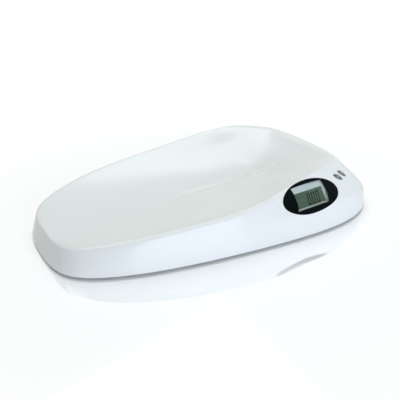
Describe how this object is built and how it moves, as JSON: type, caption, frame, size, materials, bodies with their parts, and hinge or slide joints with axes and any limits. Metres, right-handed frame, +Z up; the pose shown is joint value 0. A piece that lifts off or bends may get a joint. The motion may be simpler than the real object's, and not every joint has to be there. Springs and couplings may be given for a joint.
{
  "type": "digital baby weighing scale",
  "caption": "Digital baby scale: a long white moulded tray with a raised rim, an oval display with an LCD, two leaf-shaped keys and rubber-padded feet.",
  "frame": {"origin": "middle of the footprint, on the floor under the foot pads", "axes": "+Z up, +X along the tray towards its high end, -Y towards the side with the display"},
  "size_m": [0.5956, 0.3557, 0.092],
  "materials": {
    "white_abs": "glossy moulded white ABS",
    "black_abs": "glossy black ABS",
    "clear_lens": "clear polished acrylic",
    "lcd_glass": "grey-green reflective LCD",
    "white_inner": "matt white ABS",
    "grey_key": "satin dark grey ABS",
    "dark_plastic": "matt black plastic",
    "tape": "black foam adhesive tape",
    "elastomer": "striped conductive elastomer",
    "board": "green solder mask",
    "spring_steel": "plated steel",
    "screw_steel": "zinc-plated steel",
    "cell_steel": "ground alloy steel",
    "gauge": "amber polyimide film",
    "pad_rubber": "matt rubber",
    "cell_sleeve": "printed film sleeve"
  },
  "bodies": {
    "scale_body": {"tray_shell": "white_abs", "base_plate": "white_inner", "base_screws": "screw_steel", "strain_gauges": "gauge", "retainer_screws": "screw_steel", "battery_springs": "spring_steel", "battery_contacts": "spring_steel", "display_bezel": "black_abs", "bezel_tape": "tape", "display_window": "clear_lens", "lcd_frame": "white_inner", "lcd_panel": "lcd_glass", "zebra_strips": "elastomer", "main_board": "board", "controller_chip": "dark_plastic", "board_capacitors": "dark_plastic", "board_connectors": "white_inner", "display_screws": "screw_steel", "key_switches": "dark_plastic", "key_board": "board", "key_board_screws": "screw_steel", "load_cell_near_low": "cell_steel", "cell_retainer_near_low": "white_inner", "foot_near_low": "white_inner", "foot_pad_near_low": "pad_rubber", "load_cell_far_low": "cell_steel", "cell_retainer_far_low": "white_inner", "foot_far_low": "white_inner", "foot_pad_far_low": "pad_rubber", "load_cell_near_high": "cell_steel", "cell_retainer_near_high": "white_inner", "foot_near_high": "white_inner", "foot_pad_near_high": "pad_rubber", "load_cell_far_high": "cell_steel", "cell_retainer_far_high": "white_inner", "foot_far_high": "white_inner", "foot_pad_far_high": "pad_rubber", "battery_1": "cell_sleeve", "battery_2": "cell_sleeve", "battery_3": "cell_sleeve", "battery_4": "cell_sleeve"},
    "on_off_button": {"on_off_key": "grey_key", "on_off_plunger": "dark_plastic"},
    "zero_button": {"zero_key": "grey_key", "zero_plunger": "dark_plastic"},
    "battery_cover": {"battery_door": "white_inner"}
  },
  "joints": [
    {"name": "on_off_press", "type": "slide", "parent": "scale_body", "child": "on_off_button", "axis": [-0.3002, 0.5933, -0.7469], "range_m": [0, 0.0006], "stiffness_N_per_m": 800, "springref_m": -0.001},
    {"name": "zero_press", "type": "slide", "parent": "scale_body", "child": "zero_button", "axis": [-0.3002, 0.5933, -0.7469], "range_m": [0, 0.0006], "stiffness_N_per_m": 800, "springref_m": -0.001},
    {"name": "battery_cover_hinge", "type": "hinge", "parent": "scale_body", "child": "battery_cover", "pos_m": [-0.01, 0.03335, 0.008], "axis": [1, 0, 0], "range_deg": [0, 90]}
  ]
}
